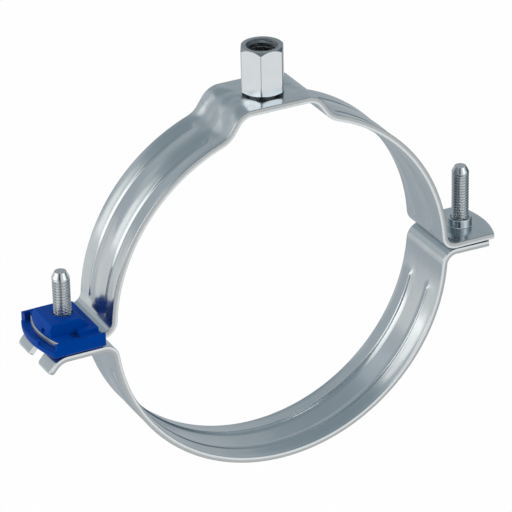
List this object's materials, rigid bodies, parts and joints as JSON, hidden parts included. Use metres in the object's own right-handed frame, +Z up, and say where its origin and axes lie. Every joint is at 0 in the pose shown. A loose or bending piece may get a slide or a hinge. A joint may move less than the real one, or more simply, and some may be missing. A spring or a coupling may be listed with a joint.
{
  "type": "pipe bracket",
  "caption": "Two-screw pipe bracket of zinc-plated strap with a welded connection nut on top and a blue plastic clip on its quick-closing ear.",
  "frame": {"origin": "axis of the pipe at the middle of the strap's width", "axes": "+Y along the pipe, +Z up out of the connection nut, +X along the ears away from the clip"},
  "size_m": [0.1699, 0.0272, 0.1475],
  "materials": {
    "zinc_plated_strap": "electro-galvanised steel strip, blue-passivated, satin sheen with faint rolling lines",
    "zinc_plated_nut": "electro-galvanised turned hexagon steel, bright",
    "zinc_plated_screw": "electro-galvanised rolled thread, bright",
    "blue_plastic": "deep blue injection-moulded polyamide, semi-gloss"
  },
  "bodies": {
    "fixed_half": {"upper_half": "zinc_plated_strap", "connection_nut": "zinc_plated_nut", "retaining_clip": "blue_plastic"},
    "loose_half": {"lower_half": "zinc_plated_strap"},
    "right_screw": {"closing_screw_right": "zinc_plated_screw"},
    "left_screw": {"closing_screw_left": "zinc_plated_screw"}
  },
  "joints": [
    {"name": "open_clamp", "type": "slide", "parent": "fixed_half", "child": "loose_half", "axis": [0, 0, -1], "range_m": [0, 0.014]},
    {"name": "turn_right_screw", "type": "hinge", "parent": "loose_half", "child": "right_screw", "pos_m": [0.0745, 0, 0], "axis": [0, 0, -1], "range_deg": [0, 5041]},
    {"name": "turn_left_screw", "type": "hinge", "parent": "loose_half", "child": "left_screw", "pos_m": [-0.0745, 0, 0], "axis": [0, 0, -1], "range_deg": [0, 5041]}
  ],
  "couplings": [
    {"joint": "turn_right_screw", "follows": "open_clamp", "rad_per_m": 6283.2},
    {"joint": "turn_left_screw", "follows": "open_clamp", "rad_per_m": 6283.2}
  ]
}
